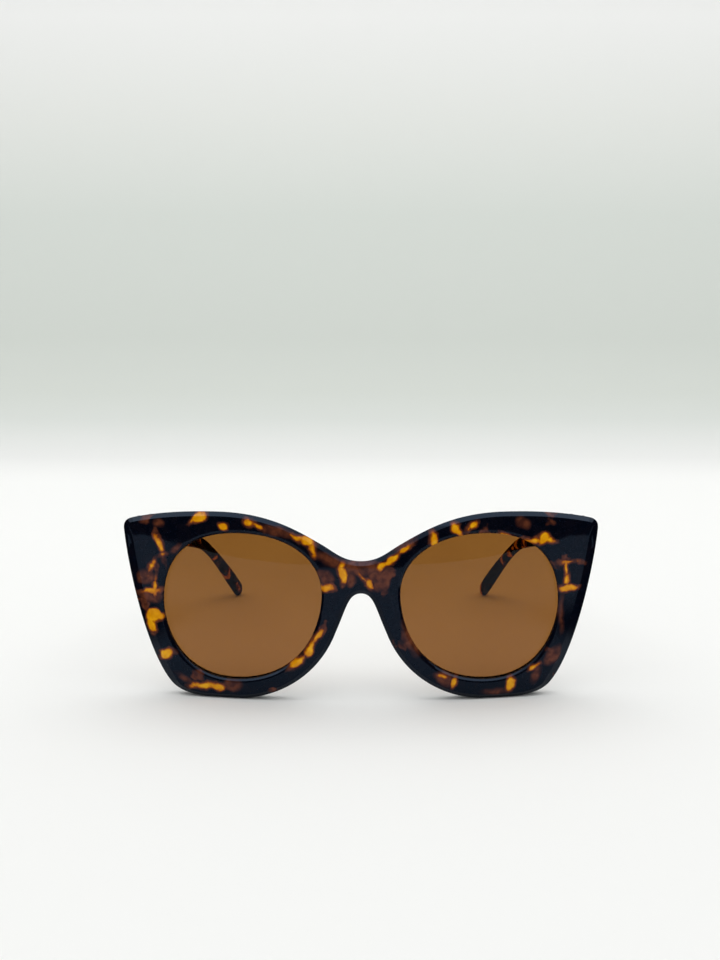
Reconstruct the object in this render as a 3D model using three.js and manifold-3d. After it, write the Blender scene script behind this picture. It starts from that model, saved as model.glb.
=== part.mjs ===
// Cat eye sunglasses standing open: a moulded tortoiseshell front, two tinted lenses and
// two temples on five-barrel steel hinges. Millimetres, +Z up, the front faces -Y,
// the wearer's left is +X, and the rims and both temple tips rest on z = 0.
import * as THREE from 'three';
import { mergeVertices } from 'three/addons/utils/BufferGeometryUtils.js';
import { TessellateModifier } from 'three/addons/modifiers/TessellateModifier.js';
import Module from 'manifold-3d';

// ---- driving dimensions -------------------------------------------------------------

// front
const WRAP_RADIUS = 260;          // the front curves round the face on this radius
const FRONT_THICKNESS = 5.0;
const OUTER_BEVEL = { width: 1.4, depth: 1.1 };
const RIM_BEVEL = { width: 1.0, depth: 0.9 };
const BACK_CHAMFER = 0.5;
const BRIDGE_TOP = 43.5;          // lowest point of the brow line, at the centre
const BRIDGE_UNDERSIDE = 33.5;    // top of the nose arch
const BROW_TOP = 58.0;            // highest point of the brow line
const NOSE_PAD = { radii: [2.1, 4.6, 7.4], middle: [12.2, 5.4, 18.6], flare: 0.3, lean: 0.52 };
const PAD_CLEARANCE = 11;         // the pad is kept clear of the lens as far back as this
const REST_FLAT = { from: 35.2, to: 45.8 };

// lens and its groove
const LENS_FRONT = 2.2;           // lens surface behind the front's face
const LENS_THICKNESS = 1.8;
const LENS_BITE = 0.6;            // how far the lens edge reaches into the groove
const LENS_EDGE_BEVEL = 0.3;
const BACK_LIP = { set: 0.25, flare: 0.6 };  // the lip behind the lens, set back and flared
const SEAT_GAP = 0.3;             // clearance round every seated piece

// endpiece and hinge
const HINGE = { x: 65.5, y: 17.2, z: 50.6 };
const BUTT_FACE_Y = 15.3;         // back face of the endpiece
const ENDPIECE_SECTION = [
  [60.4, 45.8], [71.4, 45.8], [72.0, 51.4], [71.2, 53.7], [69.5, 54.5], [60.4, 55.6],
];
const BARREL_RADIUS = 1.4;
const BARREL_HEIGHT = 1.2;
const BARREL_PITCH = 1.5;
const BORE_RADIUS = 0.78;
const SHANK_RADIUS = 0.7;
const SCREW_HEAD = { radius: 1.2, height: 0.8, slotWidth: 0.4, slotDepth: 0.35 };
const BARREL_WEB = 1.6;           // width of the web that joins a barrel to its leaf
const LEAF_THICKNESS = 1.1;
const LEAF_INNER_X = HINGE.x + BARREL_RADIUS + SEAT_GAP;  // inner face of leaf and temple
const LEAF_FRONT_Y = HINGE.y - 1;
const FRONT_FOOT = { low: [62.2, 12.8, 47.0], high: [66.8, 15.0, 54.2] };
const TEMPLE_LEAF = { length: 9.3, low: 47.9, high: 53.3 };

// temple
const TEMPLE_START = new THREE.Vector3(69.1, 11.6, 51.5);
const TEMPLE_BEND = new THREE.Vector3(61.8, 95, 30.5);
const TEMPLE_TIP = new THREE.Vector3(51.5, 137.8, 1.12);
const TEMPLE_BEND_REACH = 17;     // how softly the temple turns down behind the ear
const TEMPLE_TIP_REACH = 12;
const TEMPLE_TIP_DIRECTION = new THREE.Vector3(-0.23, 0.72, -0.66);
const TEMPLE_TIP_ROUNDING = 3.0;
const TIP_FLAT = 0.2;             // share of the section left flat at the very end
const TEMPLE_HEIGHT = { hinge: 8.6, waist: 4.2, tip: 6.4 };
const TEMPLE_THICKNESS = { hinge: 3.8, waist: 3.1, tip: 3.7 };
const TEMPLE_STATIONS = 44;
const STATION_CROWDING = 1.25;    // above 1 the stations crowd towards the tip

const BARREL_SEGMENTS = 24;
const CURVE_STEPS = 8;            // points along each curve of an outline
const LONGEST_EDGE = 10;          // longest triangle edge on the curved front

const wasm = await Module();
wasm.setup();

// ---- materials ------------------------------------------------------------------------

const tortoise = new THREE.MeshStandardMaterial({ color: 0x3a1d10, roughness: 0.12, metalness: 0 });
const tintedLens = new THREE.MeshStandardMaterial({ color: 0x8a5f35, roughness: 0.05, metalness: 0 });
const hingeSteel = new THREE.MeshStandardMaterial({ color: 0xb9b6ae, roughness: 0.3, metalness: 1 });
const screwSteel = new THREE.MeshStandardMaterial({ color: 0xd2d0ca, roughness: 0.22, metalness: 1 });

// ---- solids -----------------------------------------------------------------------------

/** A closed geometry as a manifold solid, with its shared vertices merged. */
function toSolid(geometry) {
  const bare = new THREE.BufferGeometry();
  bare.setAttribute('position', geometry.getAttribute('position'));
  bare.setIndex(geometry.index);
  const merged = mergeVertices(bare, 1e-4);
  return new wasm.Manifold(new wasm.Mesh({
    numProp: 3,
    vertProperties: new Float32Array(merged.getAttribute('position').array),
    triVerts: new Uint32Array(merged.index.array),
  }));
}

/** A manifold solid back as a geometry. */
function toGeometry(solid) {
  const mesh = solid.getMesh();
  const geometry = new THREE.BufferGeometry();
  geometry.setAttribute('position', new THREE.BufferAttribute(mesh.vertProperties, 3));
  geometry.setIndex(new THREE.BufferAttribute(mesh.triVerts, 1));
  geometry.computeVertexNormals();
  return geometry;
}

/** A box between two corners. */
function box(low, high) {
  const size = high.map((value, axis) => value - low[axis]);
  const geometry = new THREE.BoxGeometry(...size);
  geometry.translate(...high.map((value, axis) => (value + low[axis]) / 2));
  return toSolid(geometry);
}

/** An upright cylinder on the hinge axis. */
function hingeCylinder(radius, low, high) {
  const geometry = new THREE.CylinderGeometry(radius, radius, high - low, BARREL_SEGMENTS);
  geometry.rotateX(Math.PI / 2);
  geometry.translate(HINGE.x, HINGE.y, (low + high) / 2);
  return toSolid(geometry);
}

/** Moves a counter-clockwise outline outwards by a distance, with mitred corners. */
function offsetOutline(outline, distance) {
  return outline.map((point, i) => {
    const before = outline[(i + outline.length - 1) % outline.length];
    const after = outline[(i + 1) % outline.length];
    const arriving = point.clone().sub(before).normalize();
    const leaving = after.clone().sub(point).normalize();
    const normal = new THREE.Vector2(arriving.y, -arriving.x);
    const mitre = new THREE.Vector2(arriving.y + leaving.y, -arriving.x - leaving.x).normalize();
    return point.clone().addScaledVector(mitre, distance / mitre.dot(normal));
  });
}

/**
 * A closed body from an outline in the XZ plane. Each profile step is
 * [offset of the outline, y], listed from the front to the back.
 */
function loft(outline, profile) {
  const rings = profile.map(([offset]) => offsetOutline(outline, offset));
  const count = outline.length;
  const positions = rings.flatMap((ring, k) => ring.flatMap((p) => [p.x, profile[k][1], p.y]));
  const indices = [];
  for (const [a, b, c] of THREE.ShapeUtils.triangulateShape(rings[0], [])) {
    indices.push(a, b, c);
  }
  for (let k = 0; k + 1 < rings.length; k += 1) {
    for (let i = 0; i < count; i += 1) {
      const here = k * count + i;
      const next = k * count + (i + 1) % count;
      indices.push(here, here + count, next + count, here, next + count, next);
    }
  }
  const last = (rings.length - 1) * count;
  for (const [a, b, c] of THREE.ShapeUtils.triangulateShape(rings.at(-1), [])) {
    indices.push(last + a, last + c, last + b);
  }
  const geometry = new THREE.BufferGeometry();
  geometry.setAttribute('position', new THREE.Float32BufferAttribute(positions, 3));
  geometry.setIndex(indices);
  return toSolid(geometry);
}

/** Bends a flat solid round the face: a point moves back with the square of its x. */
function wrapRoundFace(solid) {
  const fine = new TessellateModifier(LONGEST_EDGE, 14).modify(toGeometry(solid));
  const place = fine.getAttribute('position');
  for (let i = 0; i < place.count; i += 1) {
    place.setY(i, place.getY(i) + wrapDepth(place.getX(i)));
  }
  return toSolid(fine);
}

function wrapDepth(x) {
  return (x * x) / (2 * WRAP_RADIUS);
}

/** The same solid on the other side of the nose. */
function mirrored(solid) {
  const mesh = solid.getMesh();
  const positions = mesh.vertProperties.map((value, i) => (i % 3 === 0 ? -value : value));
  const triangles = [];
  for (let i = 0; i < mesh.triVerts.length; i += 3) {
    triangles.push(mesh.triVerts[i], mesh.triVerts[i + 2], mesh.triVerts[i + 1]);
  }
  return new wasm.Manifold(new wasm.Mesh({
    numProp: 3,
    vertProperties: positions,
    triVerts: new Uint32Array(triangles),
  }));
}

// ---- outlines ---------------------------------------------------------------------------

/** The front's outline: the left half from the brow round to the nose arch, then its mirror. */
function frontOutline() {
  const half = new THREE.Path();
  half.moveTo(0, BRIDGE_TOP);
  half.bezierCurveTo(5.5, BRIDGE_TOP, 7.7, 46.1, 12, 48.6);
  half.bezierCurveTo(20.2, 53.4, 28.5, BROW_TOP, 43.5, BROW_TOP);
  half.bezierCurveTo(53, BROW_TOP, 62, 57.2, 70, 55.3);
  half.bezierCurveTo(72.4, 54.7, 73.2, 53.5, 73.0, 51.3);
  half.bezierCurveTo(71.7, 37.1, 66.1, 12.1, 58.7, 3.9);
  half.bezierCurveTo(55.8, 0.7, 50.5, 0, REST_FLAT.to, 0);
  half.lineTo(REST_FLAT.from, 0);
  half.bezierCurveTo(26.4, 0, 13.5, 6.9, 7.5, 21.8);
  half.bezierCurveTo(4.3, 29.2, 3.8, BRIDGE_UNDERSIDE, 0, BRIDGE_UNDERSIDE);
  const leftHalf = half.getPoints(CURVE_STEPS);
  const rightHalf = leftHalf.slice(1, -1).map((p) => new THREE.Vector2(-p.x, p.y)).reverse();
  return [...leftHalf, ...rightHalf].reverse();
}

/** The left lens opening: four quarter curves between its left, top, right and bottom points. */
function lensOutline() {
  const left = [11.9, 33.4];
  const top = [37.1, 51.5];
  const right = [60.6, 29.4];
  const bottom = [38.7, 6.2];
  const loop = new THREE.Path();
  loop.moveTo(...right);
  loop.bezierCurveTo(right[0], right[1] + 13.4, top[0] + 15.9, top[1], ...top);
  loop.bezierCurveTo(top[0] - 15.7, top[1], left[0], left[1] + 10.2, ...left);
  loop.bezierCurveTo(left[0], left[1] - 10.7, bottom[0] - 20.4, bottom[1], ...bottom);
  loop.bezierCurveTo(bottom[0] + 16.7, bottom[1], right[0], right[1] - 9.2, ...right);
  return loop.getPoints(CURVE_STEPS + 2).slice(0, -1);
}

// ---- front --------------------------------------------------------------------------------

/** What is taken out of the front for one lens: the bevelled opening with the lens groove. */
function lensCutter() {
  const grooveDepth = LENS_BITE + SEAT_GAP;
  const grooveFront = LENS_FRONT - SEAT_GAP;
  const grooveBack = LENS_FRONT + LENS_THICKNESS + SEAT_GAP;
  const lead = 0.5;
  const slope = RIM_BEVEL.width / RIM_BEVEL.depth;
  return loft(lensOutline(), [
    [RIM_BEVEL.width + lead * slope, -lead],
    [0, RIM_BEVEL.depth],
    [0, grooveFront - SEAT_GAP],
    [grooveDepth, grooveFront],
    [grooveDepth, grooveBack],
    [BACK_LIP.set, grooveBack + SEAT_GAP],
    [BACK_LIP.set + BACK_LIP.flare, FRONT_THICKNESS + lead],
  ]);
}

/** The thick corner behind the left brow that carries the hinge and stops the temple. */
function endpiece() {
  const insideFront = wrapDepth(HINGE.x) + FRONT_THICKNESS / 2;
  return loft(ENDPIECE_SECTION.map(([x, z]) => new THREE.Vector2(x, z)), [
    [0, insideFront],
    [0, BUTT_FACE_Y - BACK_CHAMFER],
    [-BACK_CHAMFER, BUTT_FACE_Y],
  ]);
}

/** The nose pad moulded onto the back of the left rim, leaning with the nose arch. */
function nosePad() {
  const pad = new THREE.SphereGeometry(1, 24, 14);
  pad.scale(...NOSE_PAD.radii);
  pad.rotateZ(-NOSE_PAD.flare);
  pad.rotateY(-NOSE_PAD.lean);
  pad.translate(...NOSE_PAD.middle);
  return toSolid(pad);
}

/** The pocket that the front hinge's foot is sunk into. */
function footPocket() {
  const low = FRONT_FOOT.low.map((value) => value - SEAT_GAP);
  const high = FRONT_FOOT.high.map((value) => value + SEAT_GAP);
  high[1] = BUTT_FACE_Y + 1;
  return box(low, high);
}

function frontFrame() {
  const cutter = lensCutter();
  const blank = loft(frontOutline(), [
    [-OUTER_BEVEL.width, 0],
    [0, OUTER_BEVEL.depth],
    [0, FRONT_THICKNESS - BACK_CHAMFER],
    [-BACK_CHAMFER, FRONT_THICKNESS],
  ]);
  const plate = wrapRoundFace(blank.subtract(cutter).subtract(mirrored(cutter)));
  const added = endpiece().add(nosePad());
  const removed = footPocket().add(viewBehindLens());
  return plate.add(added).add(mirrored(added)).subtract(removed).subtract(mirrored(removed));
}

/** The space behind the lens opening, which the nose pad must not reach into. */
function viewBehindLens() {
  return wrapRoundFace(loft(lensOutline(), [
    [0, LENS_FRONT],
    [0, PAD_CLEARANCE],
  ]));
}

// ---- lens ---------------------------------------------------------------------------------

function lens() {
  const back = LENS_FRONT + LENS_THICKNESS;
  return wrapRoundFace(loft(lensOutline(), [
    [LENS_BITE - LENS_EDGE_BEVEL, LENS_FRONT],
    [LENS_BITE, LENS_FRONT + LENS_EDGE_BEVEL],
    [LENS_BITE, back - LENS_EDGE_BEVEL],
    [LENS_BITE - LENS_EDGE_BEVEL, back],
  ]));
}

// ---- hinge --------------------------------------------------------------------------------

/** The span in z of one of the five barrels, counted from the bottom. */
function barrelSpan(index) {
  const middle = HINGE.z + (index - 2) * BARREL_PITCH;
  return [middle - BARREL_HEIGHT / 2, middle + BARREL_HEIGHT / 2];
}

function withBore(leaf) {
  return leaf.subtract(hingeCylinder(BORE_RADIUS, HINGE.z - 5, HINGE.z + 5));
}

/** The front half of the hinge: a sunk foot with the first, third and fifth barrels. */
function frontHinge() {
  let leaf = box(FRONT_FOOT.low, FRONT_FOOT.high);
  for (const index of [0, 2, 4]) {
    const [low, high] = barrelSpan(index);
    const web = box(
      [HINGE.x - BARREL_WEB / 2, FRONT_FOOT.high[1] - 1, low],
      [HINGE.x + BARREL_WEB / 2, HINGE.y, high],
    );
    leaf = leaf.add(hingeCylinder(BARREL_RADIUS, low, high)).add(web);
  }
  return withBore(leaf);
}

/** The temple half of the hinge: a leaf in the temple's inner face with two barrels. */
function templeHinge() {
  let leaf = box(
    [LEAF_INNER_X, LEAF_FRONT_Y, TEMPLE_LEAF.low],
    [LEAF_INNER_X + LEAF_THICKNESS, LEAF_FRONT_Y + TEMPLE_LEAF.length, TEMPLE_LEAF.high],
  );
  for (const index of [1, 3]) {
    const [low, high] = barrelSpan(index);
    const web = box(
      [HINGE.x, HINGE.y - BARREL_WEB / 2, low],
      [LEAF_INNER_X + LEAF_THICKNESS / 2, HINGE.y + BARREL_WEB / 2, high],
    );
    leaf = leaf.add(hingeCylinder(BARREL_RADIUS, low, high)).add(web);
  }
  return withBore(leaf);
}

/** The hinge screw: a slotted cheese head over a plain shank through all five barrels. */
function hingeScrew() {
  const head = barrelSpan(4)[1] + SEAT_GAP;
  const top = head + SCREW_HEAD.height;
  const slot = box(
    [HINGE.x - 2, HINGE.y - SCREW_HEAD.slotWidth / 2, top - SCREW_HEAD.slotDepth],
    [HINGE.x + 2, HINGE.y + SCREW_HEAD.slotWidth / 2, top + 1],
  );
  return hingeCylinder(SHANK_RADIUS, barrelSpan(0)[0] - 0.4, head + 0.1)
    .add(hingeCylinder(SCREW_HEAD.radius, head, top))
    .subtract(slot);
}

// ---- temple -------------------------------------------------------------------------------

/** The middle line of the left temple: straight back, then down behind the ear. */
function templeLine() {
  const along = TEMPLE_BEND.clone().sub(TEMPLE_START).normalize();
  const tipward = TEMPLE_TIP_DIRECTION.clone().normalize();
  const line = new THREE.CurvePath();
  line.add(new THREE.LineCurve3(TEMPLE_START, TEMPLE_BEND));
  line.add(new THREE.CubicBezierCurve3(
    TEMPLE_BEND,
    TEMPLE_BEND.clone().addScaledVector(along, TEMPLE_BEND_REACH),
    TEMPLE_TIP.clone().addScaledVector(tipward, -TEMPLE_TIP_REACH),
    TEMPLE_TIP,
  ));
  return line;
}

/** The temple's section part way along, from 0 at the hinge to 1 at the broad, oval tip. */
function templeSize(part) {
  const mix = THREE.MathUtils.lerp;
  const smooth = THREE.MathUtils.smoothstep;
  const { hinge: deep, waist: slim, tip } = TEMPLE_HEIGHT;
  const { hinge: thick, waist: thin, tip: thickTip } = TEMPLE_THICKNESS;
  return {
    height: mix(deep, slim, smooth(part, 0.02, 0.55)) + (tip - slim) * smooth(part, 0.72, 0.95),
    thickness: mix(thick, thin, smooth(part, 0.05, 0.6)) + (thickTip - thin) * smooth(part, 0.75, 0.95),
    squareness: mix(0.62, 0.92, smooth(part, 0.3, 0.75)),
  };
}

/** A rounded bar swept along the temple's line, with a domed tip. */
function templeBar() {
  const line = templeLine();
  const length = line.getLength();
  const stations = TEMPLE_STATIONS;
  const around = 20;
  const positions = [];
  for (let k = 0; k <= stations; k += 1) {
    const part = 1 - (1 - k / stations) ** STATION_CROWDING;
    const centre = line.getPointAt(part);
    const tangent = line.getTangentAt(part);
    const side = new THREE.Vector3(1, 0, 0).projectOnPlane(tangent).normalize();
    const up = new THREE.Vector3().crossVectors(side, tangent);
    const { height, thickness, squareness } = templeSize(part);
    const intoTip = Math.max(0, 1 - ((1 - part) * length) / TEMPLE_TIP_ROUNDING);
    const dome = Math.sqrt(1 - (1 - TIP_FLAT ** 2) * intoTip * intoTip);
    for (let i = 0; i < around; i += 1) {
      const angle = (2 * Math.PI * i) / around;
      const across = roundedSquare(Math.cos(angle), squareness) * (thickness / 2) * dome;
      const raise = roundedSquare(Math.sin(angle), squareness) * (height / 2) * dome;
      const point = centre.clone().addScaledVector(side, across).addScaledVector(up, raise);
      positions.push(...point.toArray());
    }
  }
  const indices = [];
  for (let k = 0; k < stations; k += 1) {
    for (let i = 0; i < around; i += 1) {
      const here = k * around + i;
      const next = k * around + (i + 1) % around;
      indices.push(here, next + around, next, here, here + around, next + around);
    }
  }
  const last = stations * around;
  for (let i = 1; i + 1 < around; i += 1) {
    indices.push(0, i, i + 1, last, last + i + 1, last + i);
  }
  const geometry = new THREE.BufferGeometry();
  geometry.setAttribute('position', new THREE.Float32BufferAttribute(positions, 3));
  geometry.setIndex(indices);
  return toSolid(geometry);
}

/** Pushes a circle's coordinate outwards: power 1 leaves it round, less makes it squarer. */
function roundedSquare(value, power) {
  return Math.sign(value) * Math.abs(value) ** power;
}

/** The bar cut square at the hinge, flat on its inner side there, with the leaf's pocket. */
function temple() {
  const { x, y, z } = TEMPLE_START;
  const leafEnd = LEAF_FRONT_Y + TEMPLE_LEAF.length;
  const buttEnd = box([x - 10, 0, z - 10], [x + 10, BUTT_FACE_Y + SEAT_GAP, z + 10]);
  const innerSide = box([LEAF_INNER_X - 3, y, z - 10], [LEAF_INNER_X, leafEnd + 1, z + 10]);
  const pocket = box(
    [LEAF_INNER_X - 3, y, TEMPLE_LEAF.low - SEAT_GAP],
    [LEAF_INNER_X + LEAF_THICKNESS + SEAT_GAP, leafEnd + SEAT_GAP, TEMPLE_LEAF.high + SEAT_GAP],
  );
  return templeBar().subtract(buttEnd).subtract(innerSide).subtract(pocket);
}

// ---- assembly -----------------------------------------------------------------------------

function node(name, solid, material) {
  const mesh = new THREE.Mesh(toGeometry(solid), material);
  mesh.name = name;
  return mesh;
}

const sunglasses = new THREE.Group();
sunglasses.add(node('front_frame', frontFrame(), tortoise));

const sidedPieces = [
  ['lens', lens(), tintedLens],
  ['front_hinge', frontHinge(), hingeSteel],
  ['temple_hinge', templeHinge(), hingeSteel],
  ['hinge_screw', hingeScrew(), screwSteel],
  ['temple', temple(), tortoise],
];
for (const [name, solid, material] of sidedPieces) {
  sunglasses.add(node(`${name}_left`, solid, material));
  sunglasses.add(node(`${name}_right`, mirrored(solid), material));
}

// the origin is under the middle of the whole object
const extent = new THREE.Box3().setFromObject(sunglasses);
sunglasses.position.y = -(extent.min.y + extent.max.y) / 2;

export default sunglasses;
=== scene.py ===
# Cat eye sunglasses standing open on a pale studio floor. Metres, +Z up, the front faces -Y
# and the wearer's left is +X. Outlines are written in millimetres and scaled as they are built.
import math

import bmesh
import bpy
import numpy as np
from mathutils import Euler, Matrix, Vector
from mathutils.geometry import delaunay_2d_cdt


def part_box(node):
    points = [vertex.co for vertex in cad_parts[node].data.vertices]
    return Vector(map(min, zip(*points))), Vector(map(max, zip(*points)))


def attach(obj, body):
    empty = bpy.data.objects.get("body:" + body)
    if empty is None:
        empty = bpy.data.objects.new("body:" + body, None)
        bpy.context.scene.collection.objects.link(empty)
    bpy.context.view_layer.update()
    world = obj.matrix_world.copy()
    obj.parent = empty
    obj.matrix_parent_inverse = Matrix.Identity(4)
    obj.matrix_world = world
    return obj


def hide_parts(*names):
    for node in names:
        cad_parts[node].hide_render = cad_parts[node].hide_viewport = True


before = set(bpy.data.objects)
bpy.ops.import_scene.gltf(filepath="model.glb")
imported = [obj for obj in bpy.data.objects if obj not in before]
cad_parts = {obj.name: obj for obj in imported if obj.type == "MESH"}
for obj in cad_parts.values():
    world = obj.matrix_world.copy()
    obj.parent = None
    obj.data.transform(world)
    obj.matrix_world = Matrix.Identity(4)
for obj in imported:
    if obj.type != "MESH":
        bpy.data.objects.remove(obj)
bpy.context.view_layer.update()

# ---- camera -----------------------------------------------------------------------------
# The view is from just above the sunglasses, a third of a metre in front of them, and tipped
# down a little.

CAMERA_TIP = math.radians(8.0)

camera = bpy.data.objects.new("camera", bpy.data.cameras.new("camera"))
camera.data.lens = 42.0
camera.data.sensor_width = 36.0
camera.data.shift_x = -0.001
camera.data.clip_start = 0.01
camera.data.clip_end = 20.0
camera.location = (0.0, -0.39747, 0.11434)
camera.rotation_euler = (math.pi / 2 - CAMERA_TIP, 0.0, 0.0)
bpy.context.scene.collection.objects.link(camera)
bpy.context.scene.camera = camera
bpy.context.scene.view_settings.view_transform = "Standard"

# ---- studio -----------------------------------------------------------------------------
# A sheet of pale paper lies on the table and sweeps up behind into the wall, under one wide
# soft light. Black cards and a bright panel round the sunglasses show only as reflections in
# what is polished.


def node(tree, kind, **values):
    """One shader node; values are its own settings, or its inputs by name."""
    made = tree.nodes.new(kind)
    for name, value in values.items():
        label = name.replace("_", " ")
        if hasattr(made, name):
            setattr(made, name, value)
        else:
            made.inputs[label].default_value = value
    return made


def new_material(name):
    """A material with one Principled shader, and that shader."""
    material = bpy.data.materials.new(name)
    material.use_nodes = True
    return material, material.node_tree, material.node_tree.nodes["Principled BSDF"]


def ramp(tree, factor, stops):
    """A colour ramp fed by a value; stops are (position, linear colour)."""
    made = node(tree, "ShaderNodeValToRGB")
    while len(made.color_ramp.elements) < len(stops):
        made.color_ramp.elements.new(1.0)
    for element, (position, colour) in zip(made.color_ramp.elements, stops):
        element.position = position
        element.color = (*colour, 1.0)
    tree.links.new(factor, made.inputs["Fac"])
    return made.outputs["Color"]


def maths(tree, how, a, b=None, c=None):
    """A Math node; each of its terms is a socket or a number."""
    made = node(tree, "ShaderNodeMath", operation=how)
    for socket, term in zip(made.inputs, (a, b, c)):
        if term is None:
            continue
        if isinstance(term, (int, float)):
            socket.default_value = term
        else:
            tree.links.new(term, socket)
    return made.outputs[0]


def stretch(tree, value, low, high, to_low=0.0, to_high=1.0):
    """Maps a value from one range to another, eased at both ends and clamped."""
    made = node(
        tree, "ShaderNodeMapRange", interpolation_type="SMOOTHSTEP",
        From_Min=low, From_Max=high, To_Min=to_low, To_Max=to_high,
    )
    tree.links.new(value, made.inputs["Value"])
    return made.outputs["Result"]


def blend(tree, factor, first, second):
    """Mixes two colours by a socket; each is a socket or a linear colour."""
    made = node(tree, "ShaderNodeMix", data_type="RGBA")
    for socket, term in ((made.inputs[0], factor), (made.inputs[6], first), (made.inputs[7], second)):
        if isinstance(term, tuple):
            socket.default_value = (*term, 1.0)
        else:
            tree.links.new(term, socket)
    return made.outputs[2]


PAPER_WHITE = (0.88, 0.88, 0.87)
PAPER_DROP = 0.0001
PAPER_FRONT = -2.5
PAPER_HALF_WIDTH = 3.0
SWEEP_START = 0.40
SWEEP_RADIUS = 0.55
SWEEP_TOP = 2.6
SWEEP_STEPS = 24

sweep_line = [(PAPER_FRONT, 0.0)]
for step in range(SWEEP_STEPS + 1):
    angle = math.pi / 2 * step / SWEEP_STEPS
    sweep_line.append((
        SWEEP_START + SWEEP_RADIUS * math.sin(angle),
        SWEEP_RADIUS * (1.0 - math.cos(angle)),
    ))
sweep_line.append((SWEEP_START + SWEEP_RADIUS, SWEEP_TOP))
sweep_mesh = bpy.data.meshes.new("paper_sweep")
sweep_mesh.from_pydata(
    [(x, y, z - PAPER_DROP) for y, z in sweep_line for x in (-PAPER_HALF_WIDTH, PAPER_HALF_WIDTH)],
    [],
    [(2 * i, 2 * i + 1, 2 * i + 3, 2 * i + 2) for i in range(len(sweep_line) - 1)],
)
sweep_mesh.shade_smooth()
paper_sweep = bpy.data.objects.new("paper_sweep", sweep_mesh)
bpy.context.scene.collection.objects.link(paper_sweep)

# the paper's tone is painted by height, standing in for how the light falls on it: white under the
# sunglasses, painted shade behind them, and painted light again above
paper, tree, shader = new_material("paper")
place = node(tree, "ShaderNodeNewGeometry")
height = node(tree, "ShaderNodeSeparateXYZ")
tree.links.new(place.outputs["Position"], height.inputs[0])
painted_paper_shade = ramp(tree, height.outputs["Z"], [
    (0.0, PAPER_WHITE),
    (0.008, (0.78, 0.785, 0.775)),
    (0.031, (0.663, 0.688, 0.66)),
    (0.05, (0.63, 0.657, 0.62)),
    (0.10, (0.60, 0.63, 0.592)),
    (0.23, (0.655, 0.687, 0.65)),
    (0.345, (0.78, 0.793, 0.765)),
    (0.46, (0.90, 0.90, 0.89)),
])
tree.links.new(painted_paper_shade, shader.inputs["Base Color"])
shader.inputs["Roughness"].default_value = 1.0
shader.inputs["Specular IOR Level"].default_value = 0.0
sweep_mesh.materials.append(paper)

CARD_BLACK = (0.004, 0.004, 0.005)
CARD_HEIGHT = 0.26
CARD_SIDE = 0.50
CARD_BACK = 0.42
CARD_LINE = [
    (0.0, -0.256), (0.12, -0.256), (0.23, -0.27), (0.34, -0.19), (0.43, -0.06), (0.48, 0.12),
    (CARD_SIDE, CARD_BACK),
]
FLOOR_CARD_LIFT = 0.0005
FLOOR_CARD_INNER = 0.088
SIDE_CARD_FRONT = -0.17
MIDDLE_CARD_FRONT = -0.035
FLOOR_CARDS = {
    "left_card": (FLOOR_CARD_INNER, CARD_SIDE, SIDE_CARD_FRONT),
    "middle_card": (-FLOOR_CARD_INNER, FLOOR_CARD_INNER, MIDDLE_CARD_FRONT),
    "right_card": (-CARD_SIDE, -FLOOR_CARD_INNER, SIDE_CARD_FRONT),
}


def black_card(name, points, faces, cloth):
    """A card that only darkens what the polished surfaces mirror."""
    mesh = bpy.data.meshes.new(name)
    mesh.from_pydata(points, [], faces)
    mesh.materials.append(cloth)
    card = bpy.data.objects.new(name, mesh)
    bpy.context.scene.collection.objects.link(card)
    card.visible_camera = False
    card.visible_diffuse = False
    card.visible_shadow = False
    card.visible_transmission = False


card_cloth, tree, shader = new_material("card_cloth")
shader.inputs["Base Color"].default_value = (*CARD_BLACK, 1.0)
shader.inputs["Roughness"].default_value = 1.0
shader.inputs["Specular IOR Level"].default_value = 0.0

# the cards on the floor turn from paper white to black over their inner and front edges
floor_cloth, tree, shader = new_material("floor_cloth")
place = node(tree, "ShaderNodeNewGeometry")
axes = node(tree, "ShaderNodeSeparateXYZ")
tree.links.new(place.outputs["Position"], axes.inputs[0])
sideways = maths(tree, "ABSOLUTE", axes.outputs["X"])
beside = stretch(tree, sideways, FLOOR_CARD_INNER, FLOOR_CARD_INNER + 0.027)
ahead = stretch(tree, axes.outputs["Y"], SIDE_CARD_FRONT, SIDE_CARD_FRONT + 0.045)
behind = stretch(tree, axes.outputs["Y"], MIDDLE_CARD_FRONT, MIDDLE_CARD_FRONT + 0.065)
dark = maths(tree, "MAXIMUM", maths(tree, "MULTIPLY", beside, ahead), behind)
tree.links.new(blend(tree, dark, PAPER_WHITE, CARD_BLACK), shader.inputs["Base Color"])
shader.inputs["Roughness"].default_value = 1.0
shader.inputs["Specular IOR Level"].default_value = 0.0

card_line = [(-x, y) for x, y in CARD_LINE[:0:-1]] + CARD_LINE
black_card(
    "front_card",
    [(x, y, z) for x, y in card_line for z in (0.0, CARD_HEIGHT)],
    [(2 * i, 2 * i + 2, 2 * i + 3, 2 * i + 1) for i in range(len(card_line) - 1)],
    card_cloth,
)
black_card(
    "back_card",
    [(x, CARD_BACK, z) for x in (-CARD_SIDE, CARD_SIDE) for z in (0.0, CARD_HEIGHT)],
    [(0, 2, 3, 1)],
    card_cloth,
)
for name, (left, right, front_edge) in FLOOR_CARDS.items():
    corners = ((left, front_edge), (right, front_edge), (right, CARD_BACK), (left, CARD_BACK))
    points = [(x, y, FLOOR_CARD_LIFT) for x, y in corners]
    black_card(name, points, [(0, 1, 2, 3)], floor_cloth)

soft_box = bpy.data.objects.new("soft_box", bpy.data.lights.new("soft_box", "AREA"))
soft_box.data.shape = "RECTANGLE"
soft_box.data.size = 2.8
soft_box.data.size_y = 1.9
soft_box.data.energy = 19.5
soft_box.data.color = (1.0, 0.995, 0.98)
soft_box.location = (0.0, 0.1, 1.3)
bpy.context.scene.collection.objects.link(soft_box)

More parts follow.
